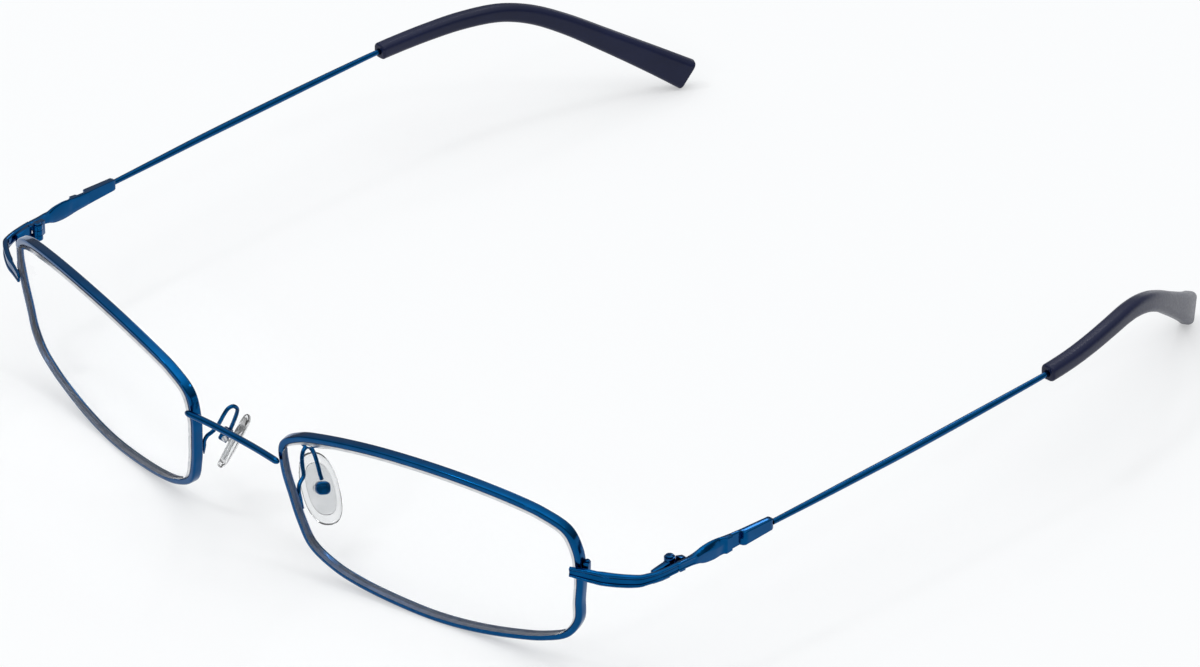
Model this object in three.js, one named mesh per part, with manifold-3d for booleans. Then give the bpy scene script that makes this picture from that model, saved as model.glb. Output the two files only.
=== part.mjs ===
// Metal full-rim eyeglasses, size 50-18-135, standing open on a table.
// Millimetres. +X is the wearer's left, -Y the front, +Z up, z = 0 the table.
// One side is made once and mirrored for the other.
import * as THREE from "three";
import { mergeVertices } from "three/addons/utils/BufferGeometryUtils.js";
import Module from "manifold-3d";

const wasm = await Module();
wasm.setup();

// ---- Driving dimensions ----------------------------------------------------------------------

const LENS_CENTRE_X = 34; // half of lens width 50 + bridge 18
const LENS_CENTRE_Z = 14;
const WRAP = THREE.MathUtils.degToRad(11.7); // each lens swings back towards the temple
const TILT = THREE.MathUtils.degToRad(8); // the top of each lens leans forward
const BASE_CURVE = 222; // radius of the lens across its width
const HEIGHT_CURVE = 526; // the rim's top and bottom come forward of its middle on this radius

const RIM_WIDTH = 1.06;
const RIM_DEPTH = 1.49;
const RIM_EDGE = 0.3; // rounding of the rim's four edges
const GROOVE_DEPTH = 0.4;
const GROOVE_HALF = 0.38;
const RIM_STEPS = 60; // facets round the rim and the lens
const RIM_SLIT = 0.12; // the cut that the closing block draws together

const LENS_THICKNESS = 1.55;
const LENS_PROUD = 0.45; // the lens stands this far in front of the rim
const LENS_CHAMFER = 0.2; // along its front edge
const LENS_FIT = 0.07;

const STRIP = 0.8; // sheet thickness of the endpiece and the temple plate
const STRIP_ON_RIM = 0.42; // where the endpiece lies over the rim
const GAP = 0.05; // between pieces that are soldered, pressed or butted together
const PIN_PLAY = 0.07; // radial clearance of a screw in its bore

const STRIP_EASE = 0.18; // the strip's chamfered edges
const STRIP_GROOVE = 0.12; // depth of the groove along the strip's outer face
const PLATE_EDGE = 0.16; // rounding of the temple plate's edges

const BRIDGE_RADIUS = 0.51;
const PAD_WIRE_RADIUS = 0.3;

const HINGE_AXIS = new THREE.Vector2(65.7, 16);
const HINGE_BOTTOM = 16.1;
const HINGE_TOP = 18.6;
const BARREL_RADIUS = 0.8;
const HINGE_PIN_RADIUS = 0.35;
const HINGE_HEAD = { radius: 0.68, height: 0.3 };
const KNUCKLE_WEB = { inner: 0.15, start: 0.6, reach: 1.2 }; // the web that ties a barrel to its leaf
const BUTT_Y = 15.8; // endpiece and temple meet here when the temple is open

const TIP_START = 55.6; // distances along the temple from the back of its plate
const WIRE_END = 74;
const SOCKET_END = 75;
const TIP_THICKNESS = 2.5;
const TIP_EDGE = 0.9; // rounding of the tip's section
const WIRE_RADIUS = 0.42; // at both ends of the temple wire
const WIRE_SWELL = 0.14; // how much thicker it is in between

const LENGTH_MIDDLE = 68; // from the lens plane back to the middle of the overall length
const RIM_CLEARANCE = 0.12; // how far the lowest point of the rims, as drawn here, is above the table

// The lens shape seen from the front, u towards the temple and v up, round from the rim's slit.
const LENS_OUTLINE = [
  [24.8, 2.6],
  [24.7, 5.3],
  [23.5, 8.6],
  [20.0, 10.6],
  [16.1, 11.7],
  [8.5, 12.85],
  [0, 13.25],
  [-8.5, 12.8],
  [-16.9, 11.4],
  [-20.9, 10.2],
  [-24.2, 7.9],
  [-24.7, 3.5],
  [-24.0, -0.8],
  [-23.1, -4.9],
  [-21.5, -8.7],
  [-17.7, -11.05],
  [-13.5, -12.2],
  [-6.5, -13.1],
  [0, -13.5],
  [6.5, -13.2],
  [13.5, -12.2],
  [17.9, -11.2],
  [21.6, -9.6],
  [23.6, -6.8],
  [24.1, -3.3],
  [24.7, 0.4],
];

// The endpiece's outer face: x, y and the heights of its lower and upper edge.
const ENDPIECE_ROUTE = [
  [57.4, 4.82, 16.55, 17.9],
  [59.9, 5.97, 16.2, 18.05],
  [61.75, 6.7, 16.15, 18.1],
  [63.65, 7.75, 16.25, 18.15],
  [65.3, 8.9, 16.4, 18.2],
  [66.3, 9.85, 16.55, 18.2],
  [66.8, 10.9, 16.7, 18.2],
  [67.2, 12.1, 16.8, 18.2],
  [67.52, 13.75, 16.9, 18.25],
  [67.72, BUTT_Y - GAP, 17.0, 18.34],
];

// The closing block stands behind the endpiece against the rim's outer side: distances out from the
// rim, back from its front face and up from the table.
const LOCK = { inner: 0.7, outer: 1.5, front: 0.1, back: 1.35, bottom: 16.3, split: 17.35, top: 18.7 };
const LOCK_CHAMFER = 0.3;
const LOCK_SCREW = { shank: 0.18, head: 0.32, headHeight: 0.25 };

// The hinge leaves' plates seen from above, x and y from the hinge axis.
const FRONT_LEAF = [
  [0.1, -3.8],
  [0.63, -3.8],
  [0.96, -2.4],
  [1.06, -0.98],
  [0.15, -0.98],
];
const TEMPLE_LEAF = [
  [0.15, 0.98],
  [1.14, 0.98],
  [1.24, 1.9],
  [0.5, 1.9],
];

// The temple plate from front to back: y, inner and outer face, lower and upper edge.
const TEMPLE_PLATE_STATIONS = [
  [BUTT_Y + GAP, 66.9, 67.72, 17.0, 18.34],
  [18.4, 67.05, 67.9, 17.0, 18.36],
  [19.6, 67.12, 67.98, 16.75, 18.6],
  [20.7, 67.2, 68.02, 16.35, 18.95],
  [22.6, 67.33, 68.08, 16.15, 19.15],
  [24.4, 67.42, 68.12, 16.3, 18.98],
  [24.6, 67.43, 68.42, 16.34, 18.95],
  [25.6, 67.48, 68.42, 16.42, 18.87],
  [25.8, 67.49, 68.12, 16.44, 18.85],
  [27.4, 67.56, 68.15, 16.52, 18.78],
  [27.6, 67.57, 68.72, 16.55, 18.76],
  [27.8, 67.58, 68.87, 16.56, 18.75],
  [33.0, 67.8, 68.87, 16.78, 18.62],
  [33.4, 67.9, 68.7, 16.9, 18.5],
];

// The temple's centreline from the back of its plate to the end of its tip.
const TEMPLE_ROUTE = [
  [68.45, 33.45, 17.77],
  [68.75, 42.4, 17.95],
  [69.0, 50.7, 18.15],
  [69.2, 59.0, 18.3],
  [69.35, 72.0, 18.6],
  [69.4, 80.7, 18.8],
  [69.35, 89.0, 18.98],
  [69.0, 94.3, 19.1],
  [68.35, 99.2, 19.27],
  [67.4, 104.2, 19.4],
  [66.0, 109.7, 19.2],
  [65.05, 113.0, 18.6],
  [63.7, 117.1, 17.15],
  [61.75, 122.0, 14.5],
  [59.0, 128.0, 10.55],
  [55.5, 135.0, 5.8],
  [52.4, 140.0, 2.3],
];

// The bridge from one rim to the other.
const BRIDGE_ROUTE = [
  [-9.75, -5.06, 18.6],
  [-4.875, -4.75, 18.6],
  [0, -4.65, 18.6],
  [4.875, -4.75, 18.6],
  [9.75, -5.06, 18.6],
];

// The pad arm from its foot on the back of the rim, up, over and down to the pad box.
const PAD_ARM_ROUTE = [
  [10.5, -1.1, 9.8],
  [10.2, -1.28, 11.0],
  [9.95, -1.4, 12.3],
  [9.65, -1.1, 13.1],
  [9.38, -0.57, 13.5],
  [9.2, 0.2, 14.0],
  [8.66, 0.55, 15.2],
  [8.2, 0.9, 16.4],
  [7.95, 1.5, 17.2],
  [7.83, 2.3, 17.3],
  [7.83, 3.0, 16.7],
  [8.1, 3.3, 15.9],
  [8.75, 3.35, 14.3],
  [9.3, 3.28, 13.0],
  [9.62, 3.27, 12.3],
];

// The nose pad turns on a screw through its box. It is drawn with x across, y up and z to the nose.
const PAD_PIVOT = new THREE.Vector3(10.04, 2.97, 11.28);
const PAD_WIDTH_AXIS = new THREE.Vector3(-0.513, -0.854, 0.075).normalize();
const PAD_NOSE_AXIS = new THREE.Vector3(-0.789, 0.436, -0.432).normalize();
const PAD_HALF_WIDTH = 2.75;
const PAD_HALF_LENGTH = 5.25;
const PAD_DROP = 0.25; // how far the pad's middle is below the pivot
const PAD_SLANT = 0.2;
const PAD_BACK = 0.75; // the pad's back, in front of the pivot on the nose side
const PAD_THICKNESS = 1.4;
const PAD_POCKET = 0.7; // depth of the pocket for the insert
const PAD_PIN_RADIUS = 0.25;
const PAD_HEAD = { radius: 0.45, height: 0.25 };
const CORE_SCALE = 0.72; // the insert's outline against the pad's
const CORE_THICKNESS = 0.6;
const TONGUE_RADIUS = 0.5;
const BOX = { halfWidth: 1.05, halfLength: 0.95, back: -0.95, front: 0.45, corner: 0.6 };
const CAVITY = { halfWidth: 0.6, halfLength: 0.62, floor: -0.62 };

// ---- Materials -------------------------------------------------------------------------------

const blueMetal = { color: 0x0a3c6e, metalness: 0.9, roughness: 0.32 };
const steel = { color: 0xb9bec4, metalness: 1, roughness: 0.25 };
const clearLens = { color: 0xeaf3f8, roughness: 0.05, transparent: true, opacity: 0.35 };
const silicone = { color: 0xdfe6ea, roughness: 0.3, transparent: true, opacity: 0.7 };
const navyAcetate = { color: 0x1c2340, roughness: 0.4 };

// ---- Geometry helpers ------------------------------------------------------------------------

// A closed body skinned over rings of equally many points, with a flat cap on each end ring.
function skin(rings) {
  const count = rings[0].length;
  const points = rings.flat();
  const index = [];
  for (let k = 0; k + 1 < rings.length; k++) {
    for (let i = 0; i < count; i++) {
      const a = k * count + i;
      const b = k * count + ((i + 1) % count);
      index.push(a, b, a + count);
      index.push(b, b + count, a + count);
    }
  }
  for (const [start, turn] of [[0, 1], [points.length - count, 0]]) {
    const middle = new THREE.Vector3();
    for (let i = 0; i < count; i++) middle.addScaledVector(points[start + i], 1 / count);
    points.push(middle);
    for (let i = 0; i < count; i++) {
      const ends = [start + i, start + ((i + 1) % count)];
      index.push(points.length - 1, ends[turn], ends[1 - turn]);
    }
  }
  const geometry = new THREE.BufferGeometry().setFromPoints(points);
  geometry.setIndex(signedVolume(points, index) < 0 ? index.reverse() : index);
  return geometry;
}

function signedVolume(points, index) {
  let sum = 0;
  const across = new THREE.Vector3();
  for (let i = 0; i < index.length; i += 3) {
    across.crossVectors(points[index[i + 1]], points[index[i + 2]]);
    sum += points[index[i]].dot(across);
  }
  return sum / 6;
}

// A body whose section follows a curve. section(t) gives [side, up] points about the centreline.
function sweep(curve, steps, section) {
  const { normals, binormals } = curve.computeFrenetFrames(steps, false);
  const rings = [];
  for (let k = 0; k <= steps; k++) {
    const centre = curve.getPointAt(k / steps);
    rings.push(section(k / steps).map(([a, b]) => offset(centre, normals[k], a, binormals[k], b)));
  }
  return skin(rings);
}

function routeCurve(route) {
  return new THREE.CatmullRomCurve3(route.map((point) => new THREE.Vector3(...point)));
}

function flatShape(outline) {
  return new THREE.Shape(outline.map((point) => new THREE.Vector2(...point)));
}

function offset(centre, firstAxis, a, secondAxis, b) {
  return centre.clone().addScaledVector(firstAxis, a).addScaledVector(secondAxis, b);
}

// One section of the temple at a distance along it, its height kept upright.
function templeRing(curve, distance, section) {
  const t = distance / curve.getLength();
  const along = curve.getTangentAt(t);
  const side = new THREE.Vector3(0, 0, 1).cross(along).negate().normalize();
  const up = new THREE.Vector3().crossVectors(side, along);
  return section.map(([a, b]) => offset(curve.getPointAt(t), side, a, up, b));
}

function circle(radius, sides) {
  return Array.from({ length: sides }, (_, i) => {
    const angle = (2 * Math.PI * i) / sides;
    return [radius * Math.cos(angle), radius * Math.sin(angle)];
  });
}

// Twelve points round a rectangle with rounded corners, centred on the origin.
function roundedSection(width, height, radius) {
  const x = width / 2;
  const y = height / 2;
  const corners = [[x, y], [-x, y], [-x, -y], [x, -y]];
  return corners.flatMap(([cx, cy], quarter) =>
    [0, 0.5, 1].map((step) => {
      const angle = ((quarter + step) * Math.PI) / 2;
      const inX = cx - Math.sign(cx) * radius;
      const inY = cy - Math.sign(cy) * radius;
      return [inX + radius * Math.cos(angle), inY + radius * Math.sin(angle)];
    }),
  );
}

function toManifold(geometry) {
  const bare = geometry.clone();
  bare.deleteAttribute("normal");
  bare.deleteAttribute("uv");
  const merged = mergeVertices(bare, 1e-4);
  return new wasm.Manifold(
    new wasm.Mesh({
      numProp: 3,
      vertProperties: merged.attributes.position.array,
      triVerts: new Uint32Array(merged.index.array),
    }),
  );
}

function fromManifold(solid) {
  const mesh = solid.getMesh();
  return new THREE.BufferGeometry()
    .setAttribute("position", new THREE.BufferAttribute(mesh.vertProperties, 3))
    .setIndex(new THREE.BufferAttribute(mesh.triVerts, 1));
}

function join(first, ...others) {
  return fromManifold(others.reduce((sum, one) => sum.add(toManifold(one)), toManifold(first)));
}

function cut(body, ...tools) {
  return fromManifold(tools.reduce((left, one) => left.subtract(toManifold(one)), toManifold(body)));
}

// A flat outline in x and y, raised between two heights.
function raise(shape, bottom, top) {
  const settings = { depth: top - bottom, bevelEnabled: false, curveSegments: 8 };
  return new THREE.ExtrudeGeometry(shape, settings).translate(0, 0, bottom);
}

// A screw standing on z = bottom with its head up: shank and a low cheese head.
function screw(shankRadius, headRadius, bottom, headBottom, top) {
  const profile = [
    [0, bottom],
    [shankRadius * 0.75, bottom],
    [shankRadius, bottom + 0.12],
    [shankRadius, headBottom],
    [headRadius, headBottom],
    [headRadius, top - 0.1],
    [headRadius - 0.1, top],
    [0, top],
  ];
  const points = profile.map(([r, z]) => new THREE.Vector2(r, z));
  return new THREE.LatheGeometry(points, 12).rotateX(Math.PI / 2);
}

function piece(name, geometry, look) {
  const mesh = new THREE.Mesh(geometry, new THREE.MeshStandardMaterial(look));
  mesh.name = name;
  geometry.computeVertexNormals();
  return mesh;
}

// ---- Rim and lens ----------------------------------------------------------------------------

// A point of the lens shape, at a depth behind the rim's front face.
function onLensShape(u, v, depth) {
  const back = (u * u) / (2 * BASE_CURVE) - (v * v) / (2 * HEIGHT_CURVE) + depth;
  const x = u * Math.cos(WRAP) - back * Math.sin(WRAP);
  const y = u * Math.sin(WRAP) + back * Math.cos(WRAP);
  return new THREE.Vector3(
    LENS_CENTRE_X + x,
    y * Math.cos(TILT) - v * Math.sin(TILT),
    LENS_CENTRE_Z + y * Math.sin(TILT) + v * Math.cos(TILT),
  );
}

function lensCurve() {
  const points = LENS_OUTLINE.map(([u, v]) => new THREE.Vector3(u, v, 0));
  const curve = new THREE.CatmullRomCurve3(points, true);
  curve.arcLengthDivisions = 40 * points.length;
  return curve;
}

// Points round the lens shape with their outward directions, leaving a gap before the first one.
function lensStations(steps, gap) {
  const curve = lensCurve();
  const start = gap / curve.getLength();
  return Array.from({ length: steps + 1 }, (_, i) => {
    const t = start + ((1 - start) * i) / steps;
    const point = curve.getPointAt(t);
    const along = curve.getTangentAt(t);
    return { u: point.x, v: point.y, outU: along.y, outV: -along.x };
  });
}

function rim() {
  const half = RIM_WIDTH / 2;
  const middle = RIM_DEPTH / 2;
  const section = [
    [half, RIM_EDGE],
    [half - RIM_EDGE, 0],
    [RIM_EDGE - half, 0],
    [-half, RIM_EDGE],
    [-half, middle - GROOVE_HALF],
    [GROOVE_DEPTH - half, middle],
    [-half, middle + GROOVE_HALF],
    [-half, RIM_DEPTH - RIM_EDGE],
    [RIM_EDGE - half, RIM_DEPTH],
    [half - RIM_EDGE, RIM_DEPTH],
    [half, RIM_DEPTH - RIM_EDGE],
  ];
  return skin(
    lensStations(RIM_STEPS, RIM_SLIT).map(({ u, v, outU, outV }) =>
      section.map(([out, depth]) => onLensShape(u + out * outU, v + out * outV, depth)),
    ),
  );
}

function lens() {
  const edge = -RIM_WIDTH / 2 - LENS_FIT;
  const bevel = edge + GROOVE_DEPTH - LENS_FIT;
  const front = -LENS_PROUD;
  const back = front + LENS_THICKNESS;
  const middle = RIM_DEPTH / 2;
  const stations = lensStations(RIM_STEPS, 0).slice(0, -1);
  const ring = (scale, out, depth) =>
    stations.map(({ u, v, outU, outV }) =>
      onLensShape(scale * (u + out * outU), scale * (v + out * outV), depth),
    );
  return skin([
    ring(0.5, edge, front),
    ring(1, edge - LENS_CHAMFER, front),
    ring(1, edge, front + LENS_CHAMFER),
    ring(1, edge, middle - GROOVE_HALF + LENS_FIT),
    ring(1, bevel, middle),
    ring(1, edge, middle + GROOVE_HALF - LENS_FIT),
    ring(1, edge, back),
    ring(0.5, edge, back),
  ]);
}

function bridge() {
  const domed = (t) => Math.min(1, 0.7 + 5 * Math.min(t, 1 - t));
  return sweep(routeCurve(BRIDGE_ROUTE), 16, (t) => circle(BRIDGE_RADIUS * domed(t), 10));
}

// ---- Endpiece and the block that closes the rim ----------------------------------------------

function endpiece() {
  const route = ENDPIECE_ROUTE.map(([x, y]) => new THREE.Vector3(x, y, 0));
  const curve = new THREE.CatmullRomCurve3(route);
  const heights = ENDPIECE_ROUTE.map((station) => station.slice(2));
  const steps = 2 * (route.length - 1);
  const rings = [];
  for (let k = 0; k <= steps; k++) {
    const t = k / steps;
    const at = t * (route.length - 1);
    const low = Math.min(Math.floor(at), route.length - 2);
    const [bottom, top] = [0, 1].map((edge) =>
      THREE.MathUtils.lerp(heights[low][edge], heights[low + 1][edge], at - low),
    );
    const thickness = THREE.MathUtils.lerp(STRIP_ON_RIM, STRIP, THREE.MathUtils.clamp(at - 1, 0, 1));
    const along = curve.getTangent(t);
    const inward = new THREE.Vector3(-along.y, along.x, 0);
    rings.push(stripSection(curve.getPoint(t), inward, thickness, bottom, top));
  }
  return skin(rings);
}

// A strip with a shallow groove along its outer face and eased edges.
function stripSection(outer, inward, thickness, bottom, top) {
  const ease = STRIP_EASE;
  const groove = STRIP_GROOVE;
  const middle = (bottom + top) / 2;
  const outline = [
    [ease, bottom],
    [0, bottom + ease],
    [0, middle - 2 * groove],
    [groove, middle - groove],
    [groove, middle + groove],
    [0, middle + 2 * groove],
    [0, top - ease],
    [ease, top],
    [thickness - ease, top],
    [thickness, top - ease],
    [thickness, bottom + ease],
    [thickness - ease, bottom],
  ];
  return outline.map(([deep, z]) => outer.clone().addScaledVector(inward, deep).setZ(z));
}

function placeAtLock(geometry) {
  const [u, v] = LENS_OUTLINE[0];
  const rimSide = onLensShape(u, v, 0);
  return geometry.rotateZ(WRAP + u / BASE_CURVE).translate(rimSide.x, rimSide.y, 0);
}

function lockBlock(bottom, top) {
  const { inner, outer, front, back } = LOCK;
  const shape = flatShape([
    [inner, front],
    [outer, front],
    [outer, back - LOCK_CHAMFER],
    [outer - LOCK_CHAMFER, back],
    [inner, back],
  ]);
  const bore = LOCK_SCREW.shank + PIN_PLAY;
  shape.holes.push(new THREE.Path().absarc(...lockScrewPlace(), bore, 0, 2 * Math.PI, true));
  return placeAtLock(raise(shape, bottom, top));
}

function lockScrewPlace() {
  return [(LOCK.inner + LOCK.outer) / 2, (LOCK.front + LOCK.back) / 2];
}

function lockScrew() {
  const { shank, head, headHeight } = LOCK_SCREW;
  const headBottom = LOCK.top + GAP;
  const standing = screw(shank, head, LOCK.bottom + GAP, headBottom, headBottom + headHeight);
  return placeAtLock(standing.translate(...lockScrewPlace(), 0));
}

// ---- Hinge -----------------------------------------------------------------------------------

const KNUCKLE = (HINGE_TOP - HINGE_BOTTOM - 2 * GAP) / 3;
const MIDDLE_KNUCKLE = [HINGE_BOTTOM + KNUCKLE + GAP, HINGE_TOP - KNUCKLE - GAP];

// A knuckle with its web, which runs forward to the front leaf (-1) or back to the temple leaf (1).
function knuckle(way, bottom, top) {
  const { inner, start, reach } = KNUCKLE_WEB;
  const ring = new THREE.Shape().absarc(0, 0, BARREL_RADIUS, 0, 2 * Math.PI);
  const web = flatShape([
    [inner, way * start],
    [BARREL_RADIUS, 0],
    [BARREL_RADIUS, way * reach],
    [inner, way * reach],
  ]);
  return join(raise(ring, bottom, top), raise(web, bottom, top));
}

function bore(bottom, top) {
  const height = top - bottom;
  const radius = HINGE_PIN_RADIUS + PIN_PLAY;
  const cylinder = new THREE.CylinderGeometry(radius, radius, height, 20);
  return cylinder.rotateX(Math.PI / 2).translate(0, 0, (bottom + top) / 2);
}

function placeAtHinge(geometry) {
  return geometry.translate(HINGE_AXIS.x, HINGE_AXIS.y, 0);
}

function hingeFrontLeaf() {
  const plate = raise(flatShape(FRONT_LEAF), HINGE_BOTTOM, HINGE_TOP);
  const lower = knuckle(-1, HINGE_BOTTOM, HINGE_BOTTOM + KNUCKLE);
  const upper = knuckle(-1, HINGE_TOP - KNUCKLE, HINGE_TOP);
  const leaf = join(plate, lower, upper);
  return placeAtHinge(cut(leaf, bore(HINGE_BOTTOM - 1, HINGE_TOP + 1)));
}

function hingeTempleLeaf() {
  const plate = raise(flatShape(TEMPLE_LEAF), HINGE_BOTTOM, HINGE_TOP);
  const leaf = join(plate, knuckle(1, ...MIDDLE_KNUCKLE));
  return placeAtHinge(cut(leaf, bore(HINGE_BOTTOM - 1, HINGE_TOP + 1)));
}

function hingeScrew() {
  const { radius, height } = HINGE_HEAD;
  const headBottom = HINGE_TOP + GAP;
  return placeAtHinge(screw(HINGE_PIN_RADIUS, radius, HINGE_BOTTOM, headBottom, headBottom + height));
}

// ---- Temple ----------------------------------------------------------------------------------

function templePlate() {
  return skin(
    TEMPLE_PLATE_STATIONS.map(([y, inner, outer, bottom, top]) => {
      const section = roundedSection(outer - inner, top - bottom, PLATE_EDGE);
      return section.map(
        ([a, b]) => new THREE.Vector3((inner + outer) / 2 + a, y, (bottom + top) / 2 + b),
      );
    }),
  );
}

// The wire swells from its plate to the middle and thins again towards the tip.
function wireRadius(distance) {
  const swell = Math.sin(Math.PI * Math.min(1, distance / TIP_START));
  return WIRE_RADIUS + WIRE_SWELL * swell;
}

function templeWire() {
  const curve = routeCurve(TEMPLE_ROUTE);
  const steps = 18;
  const rings = Array.from({ length: steps + 1 }, (_, k) => {
    const distance = (WIRE_END * k) / steps;
    return templeRing(curve, distance, circle(wireRadius(distance), 10));
  });
  return skin(rings);
}

// The tip is a sleeve with a blind socket for the wire; it grows taller towards its end.
function templeTip() {
  const curve = routeCurve(TEMPLE_ROUTE);
  const length = curve.getLength();
  const socket = [SOCKET_END, 70, 65, 60, TIP_START].map((distance) =>
    templeRing(curve, distance, circle(WIRE_RADIUS + GAP, 12)),
  );
  const steps = 20;
  const outside = Array.from({ length: steps + 1 }, (_, k) => {
    const share = k / steps;
    const height = TIP_THICKNESS + 0.35 * share + 2.2 * share ** 3;
    const section = roundedSection(TIP_THICKNESS, height, TIP_EDGE);
    return templeRing(curve, TIP_START + (length - TIP_START) * share, section);
  });
  return skin([...socket, ...outside]);
}

// ---- Nose pad --------------------------------------------------------------------------------

// Turns a body drawn with x across, y up and z to the nose into its place on the frame.
function placeAtPad(geometry) {
  const up = new THREE.Vector3().crossVectors(PAD_NOSE_AXIS, PAD_WIDTH_AXIS).normalize();
  const nose = new THREE.Vector3().crossVectors(PAD_WIDTH_AXIS, up);
  const basis = new THREE.Matrix4().makeBasis(PAD_WIDTH_AXIS, up, nose);
  return geometry.applyMatrix4(basis.setPosition(PAD_PIVOT));
}

// The pad's outline is a slanted oval, a little longer below the pivot.
function padOutline(scale, sides) {
  const fullness = 2 / 2.4;
  return Array.from({ length: sides }, (_, i) => {
    const angle = (2 * Math.PI * (i + 0.5)) / sides;
    const c = Math.cos(angle);
    const s = Math.sin(angle);
    const length = scale * PAD_HALF_LENGTH * Math.sign(s) * Math.abs(s) ** fullness;
    const width = scale * PAD_HALF_WIDTH * Math.sign(c) * Math.abs(c) ** fullness;
    return new THREE.Vector2(width + PAD_SLANT * length, length - PAD_DROP);
  });
}

function nosePad() {
  const ring = (scale, height) =>
    padOutline(scale, 24).map((p) => new THREE.Vector3(p.x, p.y, PAD_BACK + height));
  const pocket = CORE_SCALE + 0.025;
  const rings = [
    ring(pocket, PAD_POCKET),
    ring(pocket, 0),
    ring(0.92, 0),
    ring(1, 0.4),
    ring(1, 0.8),
    ring(0.92, PAD_THICKNESS - 0.2),
    ring(0.6, PAD_THICKNESS),
  ];
  return placeAtPad(skin(rings));
}

// The stiff insert: a plate in the pad's pocket and a tongue that turns on the pad screw.
function padCore() {
  const bottom = PAD_BACK + GAP;
  const plate = raise(new THREE.Shape(padOutline(CORE_SCALE, 24)), bottom, bottom + CORE_THICKNESS);
  const half = TONGUE_RADIUS;
  const tongue = new THREE.Shape()
    .moveTo(-half, PAD_BACK + 0.2)
    .lineTo(-half, 0)
    .absarc(0, 0, half, Math.PI, 2 * Math.PI)
    .lineTo(half, PAD_BACK + 0.2);
  tongue.holes.push(
    new THREE.Path().absarc(0, 0, PAD_PIN_RADIUS + PIN_PLAY, 0, 2 * Math.PI, true),
  );
  const thickness = CAVITY.halfWidth - GAP;
  const standing = raise(tongue, -thickness, thickness).applyMatrix4(
    new THREE.Matrix4().makeBasis(
      new THREE.Vector3(0, 1, 0),
      new THREE.Vector3(0, 0, 1),
      new THREE.Vector3(1, 0, 0),
    ),
  );
  return placeAtPad(join(plate, standing));
}

// A small oval cup, open towards the nose, bored across for the pad screw.
function padBox() {
  const { halfWidth, halfLength, back, front, corner } = BOX;
  const outline = flatShape(roundedSection(2 * halfWidth, 2 * halfLength, corner));
  const depth = front - CAVITY.floor + 1;
  const cavity = new THREE.BoxGeometry(2 * CAVITY.halfWidth, 2 * CAVITY.halfLength, depth);
  cavity.translate(0, 0, CAVITY.floor + depth / 2);
  const radius = PAD_PIN_RADIUS + PIN_PLAY;
  const across = new THREE.CylinderGeometry(radius, radius, 4 * halfWidth, 16);
  return placeAtPad(cut(raise(outline, back, front), cavity, across.rotateZ(Math.PI / 2)));
}

function padScrew() {
  const { radius, height } = PAD_HEAD;
  const headBottom = BOX.halfWidth + GAP;
  const end = -BOX.halfWidth - 2 * GAP;
  const standing = screw(PAD_PIN_RADIUS, radius, end, headBottom, headBottom + height);
  return placeAtPad(standing.rotateY(Math.PI / 2));
}

function padArm() {
  const radius = (t) => PAD_WIRE_RADIUS * Math.min(1, 0.5 + 5 * t);
  return sweep(routeCurve(PAD_ARM_ROUTE), 32, (t) => circle(radius(t), 7));
}

// ---- Assembly --------------------------------------------------------------------------------

function side(label) {
  const group = new THREE.Group();
  group.add(
    piece("rim_" + label, rim(), blueMetal),
    piece("lens_" + label, lens(), clearLens),
    piece("endpiece_" + label, endpiece(), blueMetal),
    piece("rim_lock_lower_" + label, lockBlock(LOCK.bottom, LOCK.split - GAP), blueMetal),
    piece("rim_lock_upper_" + label, lockBlock(LOCK.split + GAP, LOCK.top), blueMetal),
    piece("rim_lock_screw_" + label, lockScrew(), blueMetal),
    piece("hinge_front_leaf_" + label, hingeFrontLeaf(), blueMetal),
    piece("hinge_temple_leaf_" + label, hingeTempleLeaf(), blueMetal),
    piece("hinge_screw_" + label, hingeScrew(), blueMetal),
    piece("temple_plate_" + label, templePlate(), blueMetal),
    piece("temple_wire_" + label, templeWire(), blueMetal),
    piece("temple_tip_" + label, templeTip(), navyAcetate),
    piece("pad_arm_" + label, padArm(), blueMetal),
    piece("pad_box_" + label, padBox(), blueMetal),
    piece("pad_screw_" + label, padScrew(), steel),
    piece("pad_core_" + label, padCore(), silicone),
    piece("nose_pad_" + label, nosePad(), silicone),
  );
  return group;
}

const glasses = new THREE.Group();
const left = side("left");
const right = side("right");
right.scale.x = -1;
glasses.add(left, right, piece("bridge", bridge(), blueMetal));
glasses.position.set(0, -LENGTH_MIDDLE, -RIM_CLEARANCE);

export default glasses;
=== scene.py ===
"""Metal full-rim eyeglasses standing open on a table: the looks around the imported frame.

Lengths in the design constants are millimetres in the drawing's own frame. place() moves a drawn piece to
the row frame and finish_piece() turns it into metres. One side is drawn for +X and mirrored for the other.
"""

import math

import bpy
import numpy as np
from mathutils import Matrix, Vector


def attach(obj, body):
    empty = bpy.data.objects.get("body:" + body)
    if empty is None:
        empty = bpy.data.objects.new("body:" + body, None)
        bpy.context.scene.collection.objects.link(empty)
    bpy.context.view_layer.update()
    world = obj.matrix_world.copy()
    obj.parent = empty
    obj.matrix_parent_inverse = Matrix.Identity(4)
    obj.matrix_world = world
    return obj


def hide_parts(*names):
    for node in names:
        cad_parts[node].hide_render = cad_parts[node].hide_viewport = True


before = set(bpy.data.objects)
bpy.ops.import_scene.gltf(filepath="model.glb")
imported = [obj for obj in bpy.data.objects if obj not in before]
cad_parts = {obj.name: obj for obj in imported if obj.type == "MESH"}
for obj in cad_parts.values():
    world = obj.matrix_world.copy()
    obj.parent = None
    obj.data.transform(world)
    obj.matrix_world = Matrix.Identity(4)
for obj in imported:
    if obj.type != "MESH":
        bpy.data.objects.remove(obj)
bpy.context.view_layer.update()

# ---- Driving dimensions, in millimetres ---------------------------------------------------------

MILLIMETRE = 0.001
UV_LENGTH = 10  # millimetres along a skin for one unit of its texture coordinate
DRAWING_ORIGIN = np.array([0.0, 68.0, 0.12])  # the row frame's origin, in the drawing

LENS_CENTRE = (34.0, 14.0)
WRAP = math.radians(11.7)
TILT = math.radians(8)
BASE_CURVE = 222.0
HEIGHT_CURVE = 526.0

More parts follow.
